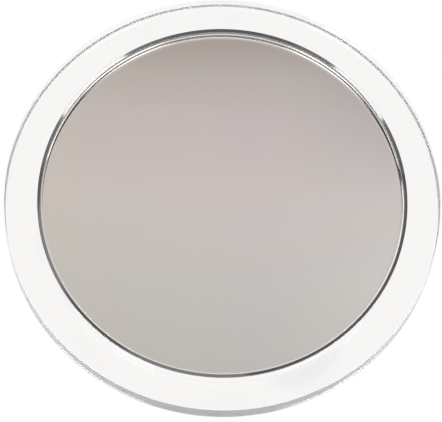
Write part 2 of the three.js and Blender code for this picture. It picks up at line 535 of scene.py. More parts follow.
# Black and matte, a little dusty.
DARK_RUBBER = SpongeRubber(
    "gasket_sponge_rubber",
    tone=(0.018, 0.018, 0.019),
    second=(0.05, 0.049, 0.047),
    size=0.3 * MM,
    spread=(0.5, 0.8),
    rough=(0.7, 0.9),
    depth=0.05 * MM,
)

# Grey polyurethane; the middle of each cell is painted dark as the shade in its hollow.
BACKING_FOAM = OpenFoam(
    "backing_foam",
    tone=(0.05, 0.052, 0.055),
    second=(0.13, 0.135, 0.14),
    size=0.9 * MM,
    spread=(0.1, 0.6),
    rough=(0.95, 0.85),
    depth=0.35 * MM,
)

# Cured clear silicone: milky, soft in the light, with a skin that dimples.
CLEAR_SILICONE = Finish(
    "bead_clear_silicone",
    tone=(0.975, 0.975, 0.975),
    second=(0.94, 0.945, 0.95),
    size=1.6 * MM,
    detail=2.0,
    rough=(0.06, 0.14),
    rough_over=MIDDLE,
    depth=0.02 * MM,
    refraction=1.41,
    clearness=1.0,
)

# A breath of blue, and faint flow lines along the cup's axis.
CUP_VINYL = SoftVinyl(
    "cup_clear_vinyl",
    tone=(0.965, 0.975, 0.995),
    second=(0.93, 0.945, 0.98),
    size=5 * MM,
    stretch=(1.0, 0.3, 1.0),
    rough=(0.1, 0.2),
    rough_over=MIDDLE,
    depth=0.03 * MM,
    refraction=1.53,
    clearness=0.96,
)

# Zinc plate.
PLATED_STEEL = PlatedMetal(
    "fastener_plated_steel",
    tone=(0.66, 0.67, 0.69),
    second=(0.5, 0.51, 0.535),
    size=1.8 * MM,
    rough=(0.22, 0.38),
    rough_over=MIDDLE,
    depth=0.006 * MM,
    metallic=1.0,
)

FLOOR_PAPER = StudioPaper("floor_paper", tone=(0.86, 0.86, 0.855), second=(0.83, 0.83, 0.825), size=0.4)


class Corner(NamedTuple):
    """One corner of a section.

    A corner with a setback is rounded: the curve leaves the edge that far before the corner and meets
    the next one that far after it. A corner without one is a point of a smooth curve.
    """

    radius: float
    y: float
    setback: float = 0.0
    finish: int = 0  # which of the piece's finishes covers the stretch from here to the next corner


@dataclass(frozen=True)
class Outline:
    """A section ready to be turned: its points, the way it faces at each, and the finish after each."""

    points: np.ndarray
    facing: np.ndarray
    finish: np.ndarray


def unit(vectors: np.ndarray) -> np.ndarray:
    """Vectors scaled to length one, along the last axis; a vector of no length stays."""
    length = np.linalg.norm(vectors, axis=-1, keepdims=True)
    return vectors / np.where(length > 0, length, 1.0)


def outline(corners: Sequence[Corner], steps: int = 6) -> Outline:
    """Rounds the corners of a section.

    A rounded corner is the quadratic curve (1-t)^2 A + 2t(1-t) P + t^2 B from A before the corner P to B
    after it. The surface faces to the right of its direction, (dy, -dr), and on the axis along Y.

    Args:
        corners: The corners, anticlockwise. A first or last one on the axis is a pole.
        steps: Steps in each rounded corner.

    Returns:
        The outline.
    """
    values = np.array([corner[:3] for corner in corners])
    point, setback = values[:, :2], values[:, 2:]
    before = unit(np.roll(point, 1, 0) - point)
    after = unit(np.roll(point, -1, 0) - point)
    on_axis = point[:, 0] < AXIS_REACH
    level = np.where((np.arange(len(point)) == 0)[:, None], after, -before) * (1.0, 0.0)
    start = point + before * setback
    end = point + after * setback
    t = np.linspace(0.0, 1.0, steps + 1)[None, :, None]
    curve = (1 - t) ** 2 * start[:, None] + 2 * t * (1 - t) * point[:, None] + t**2 * end[:, None]
    slope = (1 - t) * (point - start)[:, None] + t * (end - point)[:, None]
    through = np.where(on_axis[:, None], level, after - before)
    slope = np.where(setback[:, None] > 0, slope, through[:, None])
    kept = (setback > 0) | (np.arange(steps + 1) == 0)[None, :]
    finish = np.repeat(np.array([corner.finish for corner in corners])[:, None], steps + 1, 1)
    previous = np.roll(finish[:, 0], 1)[:, None]
    finish = np.where((setback > 0) & (np.arange(steps + 1) < steps / 2)[None, :], previous, finish)
    facing = unit(np.stack([slope[..., 1], -slope[..., 0]], -1))
    return Outline(curve[kept], facing[kept], finish[kept])


def bar_outline(
    reaches: Pair, front: float, back: float, setbacks: Sequence[float], steps: int = 4
) -> Outline:
    """Makes a rectangular section with rounded corners.

    Args:
        reaches: Its inner and outer radius.
        front: Its lowest y.
        back: Its highest y.
        setbacks: Of the inner and outer corner in front, then of the outer and inner one behind.
        steps: Steps in each rounded corner.

    Returns:
        The outline.
    """
    inner, outer = reaches
    corners = [(inner, front), (outer, front), (outer, back), (inner, back)]
    return outline([Corner(*corner, setback) for corner, setback in zip(corners, setbacks)], steps)


def arc_points(count: int, start: Pair, end: Pair, bow: float) -> list[Corner]:
    """Points along a shallow curve: the straight line plus bow times 4t(1-t), to its right.

    Args:
        count: How many points.
        start: Radius and y of the first.
        end: Radius and y of the last.
        bow: How far the middle lies beside the straight line.

    Returns:
        The points, as corners without a setback.
    """
    t = np.linspace(0.0, 1.0, count)
    ends = np.array([start, end])
    along_line = unit(ends[1] - ends[0])
    line = ends[0] + t[:, None] * (ends[1] - ends[0])
    bowed = line + (4 * t * (1 - t) * bow)[:, None] * np.array([along_line[1], -along_line[0]])
    return [Corner(*pair) for pair in bowed.tolist()]


@dataclass
class Shell:
    """A closed surface: points, the way each faces, four- and three-sided faces, and their finishes."""

    points: np.ndarray
    facing: np.ndarray
    faces: Sequence[np.ndarray]
    finish: np.ndarray

    def mesh(self, name: str, exact_normals: bool) -> bpy.types.Mesh:
        """Puts the arrays into a mesh.

        Args:
            name: The mesh's name.
            exact_normals: True to shade by the worked-out facing, False by the faces' own angles.

        Returns:
            The mesh.
        """
        mesh = bpy.data.meshes.new(name)
        corners = np.concatenate([faces.ravel() for faces in self.faces]).astype(np.int32)
        sides = np.concatenate([np.full(len(faces), faces.shape[1]) for faces in self.faces])
        starts = np.concatenate([[0], np.cumsum(sides)[:-1]]).astype(np.int32)
        mesh.vertices.add(len(self.points))
        mesh.vertices.foreach_set("co", self.points.astype(np.float32).ravel())
        mesh.loops.add(len(corners))
        mesh.loops.foreach_set("vertex_index", corners)
        mesh.polygons.add(len(sides))
        mesh.polygons.foreach_set("loop_start", starts)
        mesh.polygons.foreach_set("material_index", self.finish.astype(np.int32))
        mesh.polygons.foreach_set("use_smooth", np.ones(len(sides), bool))
        mesh.update(calc_edges=True)
        if exact_normals:
            mesh.normals_split_custom_set_from_vertices(self.facing.tolist())
        else:
            mesh.set_sharp_from_angle(angle=SHARP_ANGLE)
        return mesh

    def piece(self, name: str, finishes: Sequence[Finish], exact_normals: bool = True) -> bpy.types.Object:
        """Makes the shell an object of the scene.

        Args:
            name: The object's name.
            finishes: Its finishes, in the order of the numbers in self.finish.
            exact_normals: True to shade by the worked-out facing, False by the faces' own angles.

        Returns:
            The object.
        """
        made = bpy.data.objects.new(name, self.mesh(name, exact_normals))
        bpy.context.scene.collection.objects.link(made)
        for finish in finishes:
            made.data.materials.append(finish.material())
        return made


def grid_shell(rows: np.ndarray, facing: np.ndarray, finish: np.ndarray, poles: tuple[bool, bool]) -> Shell:
    """Joins rows of points, each a closed loop round an axis, into one closed surface.

    Args:
        rows: Points, as (row, step round, xyz). Without poles the last row joins the first.
        facing: The way the surface faces at each point.
        finish: Which finish each row's stretch has.
        poles: Whether the first and the last row are single points on the axis.

    Returns:
        The shell.
    """
    count, sides, _ = rows.shape
    first, last = poles
    body = slice(int(first), count - int(last))
    points = rows[body].reshape(-1, 3)
    normals = facing[body].reshape(-1, 3)
    inner = count - int(first) - int(last)
    lower = np.arange(inner - 1 if first else inner)
    upper = (lower + 1) % inner
    step = np.arange(sides)
    turn = (step + 1) % sides
    low, high = lower[:, None] * sides, upper[:, None] * sides
    quads = np.stack([low + step, low + turn, high + turn, high + step], -1).reshape(-1, 4)
    faces, finishes = [quads], [np.repeat(finish[body][lower], sides)]
    row = (inner - 1) * sides
    ends = [(first, 0, 0, (turn, step)), (last, -1, -2, (row + step, row + turn))]
    for pole, end, stretch, loop in ends:
        if pole:
            faces.append(np.stack([np.full(sides, len(points)), *loop], -1))
            finishes.append(np.full(sides, finish[stretch]))
            points = np.concatenate([points, rows[end, :1]])
            normals = np.concatenate([normals, facing[end, :1]])
    return Shell(points, normals, faces, np.concatenate(finishes))


def turned(section: Outline, sides: int, place: Sequence[float] = (0.0, 0.0, 0.0)) -> Shell:
    """Turns a section round the Y axis: (r, y) goes to (r sin a, y, r cos a), moved to its place.

    Args:
        section: The section.
        sides: Steps round the axis.
        place: Where the axis stands.

    Returns:
        The shell, with poles where the section ends on the axis.
    """
    angle = np.linspace(0.0, FULL_TURN, sides, endpoint=False)
    round_x, round_z = np.sin(angle), np.cos(angle)

    def around(pairs: np.ndarray) -> np.ndarray:
        """Carries (radius, y) pairs round the axis."""
        radius, y = pairs[:, :1], pairs[:, 1:]
        return np.stack([radius * round_x, np.broadcast_to(y, (len(pairs), sides)), radius * round_z], -1)

    poles = (section.points[0, 0] < AXIS_REACH, section.points[-1, 0] < AXIS_REACH)
    return grid_shell(around(section.points) + np.array(place), around(section.facing), section.finish, poles)


def claim(piece: bpy.types.Object, node: str, body: str | None = HEAD) -> None:
    """Lets a piece stand for a node of the frame, and reports it.

    Args:
        piece: The visible piece.
        node: The node that it replaces.
        body: The body that it rides on, or None to leave it unattached.
    """
    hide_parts(node)
    if body:
        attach(piece, body)
    log.info("%s stands for %s: %d points", piece.name, node, len(piece.data.vertices))


def combine(base: bpy.types.Object, tool: bpy.types.Object, operation: str) -> None:
    """Joins a tool to a base, or cuts it away, and removes the tool.

    Args:
        base: The piece that is changed.
        tool: The shape that works on it.
        operation: "UNION" or "DIFFERENCE".
    """
    modifier = base.modifiers.new("combine", "BOOLEAN")
    modifier.operation = operation
    modifier.solver = "EXACT"
    modifier.object = tool
    bpy.context.view_layer.update()
    graph = bpy.context.evaluated_depsgraph_get()
    result = bpy.data.meshes.new_from_object(base.evaluated_get(graph))
    base.modifiers.remove(modifier)
    base.data = result
    bpy.data.objects.remove(tool)


def middle(node: str) -> Vector:
    """Where a node's axis stands: the middle of its box in x and z, with y at zero."""
    low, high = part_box(node)
    return Vector(((low.x + high.x) / 2, 0.0, (low.z + high.z) / 2))


def reach(node: str) -> tuple[float, float, float]:
    """A turned node's radius, its lowest y, which is its front, and its highest y, its back."""
    low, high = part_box(node)
    return (high.x - low.x) / 2, low.y, high.y


@dataclass
class ClearRing:
    """The wide clear ring, and the silicone that holds the tray in it."""

    sides: int = 512
    bore_gap: float = 0.4 * MM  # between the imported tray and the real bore
    back_closer: float = 0.2 * MM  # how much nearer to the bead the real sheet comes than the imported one
    front_round: float = 0.25 * MM
    bore_round: float = 0.01 * MM
    bevel_width: float = 0.42 * MM  # the eased back corner, measured on the face
    bevel_depth: float = 0.3 * MM  # and on the outer wall
    bevel_round: float = 0.05 * MM
    bead_clear: float = 0.03 * MM  # between the sheet and the bead
    bead_height: float = 0.6 * MM
    bead_foot: float = 0.05 * MM  # the bead's height at the bore
    bead_crest: float = 0.1 * MM  # its width at the back
    bead_waist: float = 0.04 * MM

    def build(self) -> None:
        """Makes the ring and the bead."""
        self.build_ring()
        self.build_bead()

    def build_ring(self) -> None:
        """The ring's section: two faces, a bore wall and an outer wall, and an eased back corner."""
        outer, front, back = reach("acrylic_ring")
        bore = reach("rear_tray")[0] + self.bore_gap
        back += self.back_closer
        face, outside, inside, eased = range(4)
        corners = [
            Corner(bore, front, self.bore_round, face),
            Corner(outer, front, self.front_round, outside),
            Corner(outer, back - self.bevel_depth, self.bevel_round, eased),
            Corner(outer - self.bevel_width, back, self.bevel_round, face),
            Corner(bore, back, self.bore_round, inside),
        ]
        section = outline(corners, steps=8)
        finishes = [CLEAR_SHEET, OUTER_WALL, BORE_WALL, EASED_CORNER]
        piece = turned(section, self.sides).piece("clear_ring", finishes)
        claim(piece, "acrylic_ring")

    def build_bead(self) -> None:
        """The bead fills the corner behind the ring, and its free face is hollow, as a finger leaves it."""
        front = reach("acrylic_ring")[2] + self.back_closer + self.bead_clear
        back = front + self.bead_height
        wall = reach("rear_tray")[0]
        narrow = wall - TRAY_DRAFT * self.bead_height
        wide = wall + self.bore_gap
        foot, crest = (wide, front + self.bead_foot), (narrow + self.bead_crest, back)
        free = arc_points(ARC_STEPS, foot, crest, -self.bead_waist)
        section = outline([Corner(wall, front), Corner(wide, front), *free, Corner(narrow, back)])
        piece = turned(section, self.sides).piece("silicone_bead", [CLEAR_SILICONE], exact_normals=False)
        claim(piece, "adhesive_bead")


@dataclass
class MirrorPlate:
    """The hollow glass with its silvered back, the gasket under its rim and the foam behind it."""

    sides: int = 384
    steps: int = 56
    curve_radius: float = 500 * MM
    thickness: float = 3 * MM
    closer: float = 0.04 * MM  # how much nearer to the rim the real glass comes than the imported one
    flat_rim: float = 0.4 * MM  # the slumped plate stays flat behind, this far in from its edge
    front_seam: float = 0.48 * MM
    back_seam: float = 0.16 * MM
    seam_round: float = 0.02 * MM
    edge_round: float = 0.04 * MM
    gasket_round: float = 0.15 * MM
    foam_round: float = 0.6 * MM
    foam_bulge: float = 0.5 * MM
    foam_steps: int = 24

    def sag(self, radius: np.ndarray | float) -> np.ndarray | float:
        """How far the glass has come forward at a radius: R minus the root of R^2 - r^2."""
        return self.curve_radius - np.sqrt(self.curve_radius**2 - np.square(radius))

    def build(self) -> None:
        """Makes the glass, the gasket and the foam."""
        self.build_glass()
        self.build_gasket()
        self.build_foam()

    def build_glass(self) -> None:
        """Both faces follow y = centre - sag(r), and the edge has a seam on each side.

        The front seam is polished clear. Silver laps the edge between the seams, and lacquer covers the
        one behind.
        """
        radius, _, back_centre = reach("mirror_glass")
        radius += self.closer
        front_centre = back_centre - self.thickness
        clear, lapped, lacquer, silver = range(4)
        in_front, in_back = radius - self.front_seam, radius - self.back_seam
        flat_from = radius - self.flat_rim
        out = np.linspace(0.0, 1.0, self.steps)
        front = [Corner(r, front_centre - self.sag(r), 0.0, clear) for r in out[:-1] * in_front]
        back = [Corner(r, back_centre - self.sag(r), 0.0, silver) for r in out[::-1] * flat_from]
        rim_front, rim_back = front_centre - self.sag(in_front), back_centre - self.sag(flat_from)
        edge = [
            Corner(in_front, rim_front, self.seam_round, clear),
            Corner(radius, rim_front + self.front_seam, self.edge_round, lapped),
            Corner(radius, rim_back - self.back_seam, self.edge_round, lacquer),
            Corner(in_back, rim_back, self.seam_round, silver),
        ]
        section = outline([*front, *edge, *back], steps=4)
        finishes = [FLOAT_GLASS, SILVER_LAP, EDGE_LACQUER, SILVER_COAT]
        piece = turned(section, self.sides).piece("concave_mirror", finishes)
        claim(piece, "mirror_glass")

    def build_gasket(self) -> None:
        """A flat rubber ring with rounded edges."""
        outer, front, back = reach("rim_gasket")
        section = bar_outline((outer - GASKET_WIDTH, outer), front, back, [self.gasket_round] * 4)
        piece = turned(section, self.sides).piece("rubber_gasket", [DARK_RUBBER])
        claim(piece, "rim_gasket")

    def build_foam(self) -> None:
        """A disc whose front follows the glass and whose edge bulges where the two press it."""
        radius, _, back = reach("foam_pad")
        edge = radius - self.foam_bulge
        front_centre = reach("mirror_glass")[2] + SEAT_GAP
        front_rim = front_centre - self.sag(edge)
        out = np.linspace(0.0, edge - self.foam_round, self.foam_steps)
        front = [Corner(r, front_centre - self.sag(r)) for r in out]
        ends = (edge, front_rim + self.foam_round), (edge, back - self.foam_round)
        bulge = arc_points(ARC_STEPS, *ends, self.foam_bulge)
        rear = [Corner(r, back) for r in out[::-1]]
        piece = turned(outline([*front, *bulge, *rear]), self.sides // 2).piece("foam_disc", [BACKING_FOAM])
        claim(piece, "foam_pad")


@dataclass
class RearTray:
    """The moulded tray: a thin rim round the glass, a drafted bowl, and a collar for each cup."""

    sides: int = 288
    rim_wall: float = 0.72 * MM
    rim_closer: float = 0.36 * MM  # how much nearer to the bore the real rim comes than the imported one
    rim_slope: float = 0.37 * MM  # how much further back the rim's front edge is inside than outside
    rim_round: float = 0.1 * MM
    rim_outer_round: float = 0.06 * MM
    easing: float = 0.15 * MM
    floor_thickness: float = 2.2 * MM
    floor_round: float = 0.8 * MM
    corner_setback: float = 1.9 * MM
    rib_width: float = 1.2 * MM
    rib_height: float = 1.0 * MM
    recess_radius: float = 30 * MM
    recess_depth: float = 0.5 * MM
    collar_sides: int = 96
    collar_width: float = 1.2 * MM
    collar_height: float = 1.0 * MM
    collar_root: float = 1.0 * MM  # how deep the collar is sunk into the floor
    collar_round: float = 0.25 * MM
    tool_round: float = 0.01 * MM  # keeps the edges of a cutter and of a collar's root as good as sharp
    plug_sides: int = 64
    cut_past: float = 0.5 * MM  # how far a cutter stands past the back face
    cut_through: float = 1.0 * MM  # and past the floor
    pin_radius: float = 3.0 * MM
    pin_depth: float = 0.12 * MM
    pin_circle: float = 38 * MM

    @property
    def back(self) -> float:
        """The y of the bowl's back face, from which the collars stand up."""
        return reach("rear_tray")[2] - self.collar_height

    def build(self) -> None:
        """Makes the bowl, adds the collars, and cuts the stud holes and the ejector pins' marks."""
        tray = turned(self.section(), self.sides)
        piece = tray.piece("back_tray", [MOULDED_PLASTIC, POLISHED_RIM, PAINTED_HIGHLIGHT_EDGE], exact_normals=False)
        for number in CUP_NUMBERS:
            place = middle(f"suction_cup_{number}")
            log.info("tray: collar %d at x %.1f, z %.1f mm", number, place.x / MM, place.z / MM)
            across = place.normalized() * self.pin_circle
            opposite = Vector((-across.x, 0.0, -across.z))
            stud_hole = self.plug(place, STUD_RADIUS + SEAT_GAP, self.floor_thickness + self.cut_through)
            combine(piece, self.collar(place), "UNION")
            combine(piece, stud_hole, "DIFFERENCE")
            combine(piece, self.plug(opposite, self.pin_radius, self.pin_depth), "DIFFERENCE")
        piece.data.polygons.foreach_set("use_smooth", np.ones(len(piece.data.polygons), bool))
        piece.data.set_sharp_from_angle(angle=SHARP_ANGLE)
        even = piece.modifiers.new("even_shading", "WEIGHTED_NORMAL")
        even.keep_sharp = True
        claim(piece, "rear_tray")

    def section(self) -> Outline:
        """The bowl's section, from the middle of its floor, over rib, ledge and rim, to its back.

        The rim's wall is straight as far back as the ring goes. Behind it the bowl's wall is drafted.

        Returns:
            The outline.
        """
        rim, front, _ = reach("rear_tray")
        gasket, _, gasket_back = reach("rim_gasket")
        ring_back = reach("acrylic_ring")[2]
        back = self.back
        floor = back - self.floor_thickness
        ledge = gasket_back + SEAT_GAP
        ledge_inner = gasket - GASKET_WIDTH - SEAT_GAP
        floor_outer = ledge_inner - (floor - ledge) * TRAY_DRAFT
        rib = reach("foam_pad")[0] + SEAT_GAP
        rib_out, rib_top = rib + self.rib_width, floor - self.rib_height
        back_outer = rim - (back - ring_back) * TRAY_DRAFT
        rim_inner, rim_outer = rim - self.rim_wall, rim + self.rim_closer
        small = self.easing
        polished, painted_highlight = 1, 2
        corners = [
            Corner(0.0, floor),
            Corner(rib, floor, small),
            Corner(rib, rib_top, small),
            Corner(rib_out, rib_top, small),
            Corner(rib_out, floor, small),
            Corner(floor_outer, floor, self.floor_round),
            Corner(ledge_inner, ledge, small),
            # The rim's inner wall takes the pale finish: a painted highlight.
            Corner(rim_inner, ledge, small, painted_highlight),
            Corner(rim_inner, front + self.rim_slope, self.rim_round, polished),
            Corner(rim_outer, front, self.rim_outer_round, polished),
            Corner(rim_outer, ring_back, small),
            Corner(back_outer, back, self.corner_setback),
            Corner(self.recess_radius, back, small),
            Corner(self.recess_radius, back - self.recess_depth, small),
            Corner(0.0, back - self.recess_depth),
        ]
        return outline(corners)

    def collar(self, place: Vector) -> bpy.types.Object:
        """Makes a low ring that centres a cup's flange, sunk into the floor below.

        Args:
            place: Where the cup's axis stands.

        Returns:
            The ring, to be joined to the tray.
        """
        inner = FLANGE_RADIUS + SEAT_GAP
        outer = inner + self.collar_width
        root, top = self.back - self.collar_root, self.back + self.collar_height
        setbacks = (self.tool_round, self.tool_round, self.collar_round, self.collar_round)
        section = bar_outline((inner, outer), root, top, setbacks)
        return turned(section, self.collar_sides, place).piece("collar", [MOULDED_PLASTIC], False)

    def plug(self, place: Vector, radius: float, depth: float) -> bpy.types.Object:
        """Makes a cutter that stands past the back face.

        Args:
            place: Where its axis stands.
            radius: Its radius.
            depth: How deep it reaches, from the back face.

        Returns:
            The cutter.
        """
        bottom, top = self.back - depth, self.back + self.cut_past
        setbacks = (0.0, self.tool_round, self.tool_round, 0.0)
        section = bar_outline((0.0, radius), bottom, top, setbacks, steps=1)
        return turned(section, self.plug_sides, place).piece("plug", [MOULDED_PLASTIC], False)


@dataclass
class CupFixing:
    """One suction cup with its stud, washer and nut."""

    number: int
    sides: int = 192
    easing: float = 0.3 * MM
    lip_width: float = 1.8 * MM
    lip_thickness: float = 0.7 * MM
    lip_inner_round: float = 0.4 * MM
    hollow: float = 7 * MM
    skirt_wall: float = 1.2 * MM
    skirt_bulge: float = 0.85
    skirt_steps: int = 24
    root_fillet: float = 1 * MM
    hub_radius: float = 5.5 * MM
    hub_floor: float = 3 * MM
    hub_round: float = 0.6 * MM
    hole_round: float = 0.1 * MM
    flange_thickness: float = 2 * MM
    flange_round: float = 0.5 * MM
    stud_sides: int = 48
    stud_end: float = 0.3 * MM  # from the stud's end to the first row of its thread
    end_round: float = 0.05 * MM
    thread_pitch: float = 0.7 * MM
    thread_depth: float = 0.38 * MM
    rows_per_turn: int = 8
    thread_hair: float = 0.001 * MM  # the thread's rows are within this of the stud's radius
    neck: float = 0.8 * MM  # the plain stretch between thread and head
    neck_run: float = 0.15 * MM
    neck_fillet: float = 0.05 * MM
    neck_round: float = 0.04 * MM
    head_round: float = 0.2 * MM
    washer_sides: int = 96
    washer_rolled: float = 0.28 * MM
    washer_sharp: float = 0.08 * MM
    washer_bore: float = 0.1 * MM
    nut_sides: int = 144
    nut_levels: int = 17
    nut_flats: float = 7 * MM
    nut_bevel: float = 0.08  # of the bore, as a share of its radius
    cone_start: float = 0.96  # the cone's radius at each face, as a share of that to the flats
    cone_slope: float = 18 / 11

    def build(self) -> None:
        """Makes the four pieces at this cup's place."""
        self.build_cup()
        self.build_stud()
        self.build_washer()
        self.build_nut()

    def node(self, kind: str) -> str:
        """The name of this fixing's node of a kind."""
        return f"{kind}_{self.number}"

    def build_cup(self) -> None:
        """Flange, hub and skirt; the hollow is y = -h (1 - (r/R)^2), and the skirt rises as (1-s)^bulge."""
        radius, top, _ = reach(self.node("suction_cup"))
        head_radius, _, head_back = reach(self.node("stud"))
        pocket = head_radius + SEAT_GAP
        pocket_floor = -(self.hollow + self.hub_floor)
        pocket_roof = head_back - STUD_HEAD - SEAT_GAP
        flange_back = top + self.flange_thickness
        hollow_radius = radius - self.lip_width
        share = np.linspace(0.0, 1.0, self.skirt_steps)
        hollow = [Corner(hollow_radius * (1 - s), -self.hollow * (1 - (1 - s) ** 2)) for s in share[1:]]
        skirt_back = self.hollow + self.skirt_wall
        rise = skirt_back - self.lip_thickness
        root = self.hub_radius + self.root_fillet
        skirt = [
            Corner(root + (radius - root) * s, -self.lip_thickness - rise * (1 - s) ** self.skirt_bulge)
            for s in share[:-1]
        ]
        hole = STUD_RADIUS + SEAT_GAP / 2
        small = self.easing
        corners = [
            Corner(0.0, pocket_floor),
            Corner(pocket, pocket_floor, small),
            Corner(pocket, pocket_roof, small),
            Corner(hole, pocket_roof, self.hole_round),
            Corner(hole, top, small),
            Corner(FLANGE_RADIUS, top, small),
            Corner(FLANGE_RADIUS, flange_back, self.flange_round),
            Corner(self.hub_radius, flange_back, self.hub_round),
            Corner(self.hub_radius, -(skirt_back + self.root_fillet), self.hub_round),
            *skirt,
            Corner(radius, -self.lip_thickness, small),
            Corner(radius, 0.0, small),
            Corner(hollow_radius, 0.0, self.lip_inner_round),
            *hollow,
        ]
        section = outline(corners, steps=5)
        shell = turned(section, self.sides, middle(self.node("suction_cup")))
        piece = shell.piece(self.node("vinyl_cup"), [CUP_VINYL])
        claim(piece, self.node("suction_cup"), body=None)
        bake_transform(piece)

    def build_stud(self) -> None:
        """Head, neck and thread; the thread's radius is R less depth times a triangle wave of the turns."""
        head_radius, end, head_back = reach(self.node("stud"))
        head_front = head_back - STUD_HEAD
        neck = head_front - self.neck
        core = STUD_RADIUS - self.thread_depth
        rows = np.arange(end + self.stud_end, neck, self.thread_pitch / self.rows_per_turn)
        corners = [
            Corner(0.0, end),
            Corner(core, end, self.end_round),
            *[Corner(STUD_RADIUS, y) for y in rows.tolist()],
            Corner(core, neck + self.neck_run),
            Corner(core, head_front - self.neck_fillet, self.neck_round),
            Corner(head_radius, head_front, self.head_round),
            Corner(head_radius, head_back, self.easing),
            Corner(0.0, head_back),
        ]
        section = outline(corners, steps=4)
        shell = turned(section, self.stud_sides)
        x, y, z = shell.points.T
        out = np.hypot(x, z)
        turns = y / self.thread_pitch + np.arctan2(x, z) / FULL_TURN
        wave = np.abs(2 * (turns % 1.0) - 1)
        run_out = np.clip((neck - y) / (2 * self.thread_pitch), 0, 1)
        run_in = np.clip((y - end) / self.thread_pitch, 0, 1)
        threaded = (out > STUD_RADIUS - self.thread_hair) & (y > end) & (y < neck)
        cut = np.where(threaded, self.thread_depth * (1 - wave * run_out * run_in), 0.0)
        shell.points[:, ::2] *= (1 - cut / np.maximum(out, core))[:, None]
        shell.points += np.array(middle(self.node("stud")))
        piece = shell.piece(self.node("threaded_stud"), [PLATED_STEEL], exact_normals=False)
        claim(piece, self.node("stud"))

    def build_washer(self) -> None:
        """A flat ring with a rolled edge on its front and a sharper one behind."""
        outer, front, back = reach(self.node("washer"))
        setbacks = (self.washer_bore, self.washer_rolled, self.washer_sharp, self.washer_sharp)
        section = bar_outline((STUD_RADIUS + SEAT_GAP / 2, outer), front, back, setbacks)
        shell = turned(section, self.washer_sides, middle(self.node("washer")))
        claim(shell.piece(self.node("flat_washer"), [PLATED_STEEL]), self.node("washer"))

    def build_nut(self) -> None:
        """A hexagon whose corners a cone cuts: r = min(flats / 2 / cos(angle to the flat), cone(y))."""
        _, front, back = reach(self.node("nut"))
        apothem = self.nut_flats / 2
        sixth = np.pi / 6
        bore = STUD_RADIUS + SEAT_GAP / 3
        angle = np.linspace(0.0, FULL_TURN, self.nut_sides, endpoint=False)
        flats = apothem / np.cos((angle + sixth) % (2 * sixth) - sixth)
        y = front + (back - front) * (1 - np.cos(np.linspace(0.0, np.pi, self.nut_levels))) / 2
        cone = apothem * self.cone_start + np.minimum(y - front, back - y) * self.cone_slope
        side = np.minimum(flats[None, :], np.minimum(cone, apothem / np.cos(sixth))[:, None])
        inner = np.full((1, self.nut_sides), bore)
        bevelled = inner * (1 + self.nut_bevel)
        bevel = bore * self.nut_bevel
        faces = [(inner + side[:1]) / 2, side, (inner + side[-1:]) / 2]
        radius = np.concatenate([bevelled, *faces, bevelled, inner, inner])
        level = np.concatenate([[front, front], y, [back, back, back - bevel, front + bevel]])[:, None]
        level = np.broadcast_to(level, radius.shape)
        rows = np.stack([radius * np.sin(angle), level, radius * np.cos(angle)], -1)
        place = np.array(middle(self.node("nut")))
        shell = grid_shell(rows + place, rows * 0.0, np.zeros(len(rows), int), (False, False))
        piece = shell.piece(self.node("hex_nut"), [PLATED_STEEL], exact_normals=False)
        claim(piece, self.node("nut"))


class Lamp(NamedTuple):
    """One soft lamp, turned to the mirror. The camera doesn't see it."""

    name: str
    azimuth: float  # degrees from -Y, positive towards +X
    elevation: float  # degrees
    power: float  # watts
    size: Pair  # width and height in metres
    roll: float = 0.0  # degrees it is turned in its own plane
    lights_matte: bool = True
    shows_through_clear: bool = False

    def hang(self, distance: float) -> None:
        """Puts the lamp into the scene.

        Args:
            distance: From the origin, in metres.
        """
        data = bpy.data.lights.new(self.name, "AREA")
        data.energy = self.power
        data.shape = "RECTANGLE"
        data.size, data.size_y = self.size
        lamp = bpy.data.objects.new(self.name, data)
        lamp.visible_camera = False
        lamp.visible_diffuse = self.lights_matte
        lamp.visible_transmission = self.shows_through_clear
        turn, rise = np.radians(self.azimuth), np.radians(self.elevation)
        towards = Vector((np.sin(turn) * np.cos(rise), -np.cos(turn) * np.cos(rise), np.sin(rise)))
        spin = Quaternion((0.0, 0.0, 1.0), np.radians(self.roll))
        lamp.location = towards * distance
        lamp.rotation_mode = "QUATERNION"
        lamp.rotation_quaternion = towards.to_track_quat("Z", "Y") @ spin
        bpy.context.scene.collection.objects.link(lamp)


# All stand outside what the mirror shows. The low and pale ones show only in the polished rim and the
# clear edges: they brighten their upper left and right.
LAMPS = (
    Lamp("key_lamp", -78, 45, 9.0, (0.9, 0.9)),
    Lamp("fill_lamp", 48, 28, 7.5, (0.8, 0.9)),
    Lamp("high_lamp", 17, 56, 2.7, (0.7, 0.5)),
    Lamp("low_lamp_left", -28, -5.5, 21.0, (0.56, 0.6), lights_matte=False),
    Lamp("pale_lamp_left", -25, -1.5, 1.4, (0.478, 0.98), 26, lights_matte=False, shows_through_clear=True),
    Lamp("low_lamp_right", 28, -5.5, 21.0, (0.56, 0.6), lights_matte=False),
    Lamp("pale_lamp_right", 25, -1.5, 1.4, (0.478, 0.98), -26, lights_matte=False, shows_through_clear=True),
    Lamp("back_lamp", 160, 45, 9.0, (1.1, 1.1)),
)

# The room before the mirror: its tone at slopes up, z / -y.
ROOM_TONES = (
    (0.08, (0.29, 0.26, 0.245)),
    (0.16, (0.475, 0.432, 0.419)),
    (0.20, (0.581, 0.533, 0.530)),
    (0.25, (0.658, 0.602, 0.621)),
    (0.35, (0.71, 0.653, 0.671)),
    (0.47, (0.663, 0.646, 0.652)),
    (0.65, (0.609, 0.59, 0.592)),
)


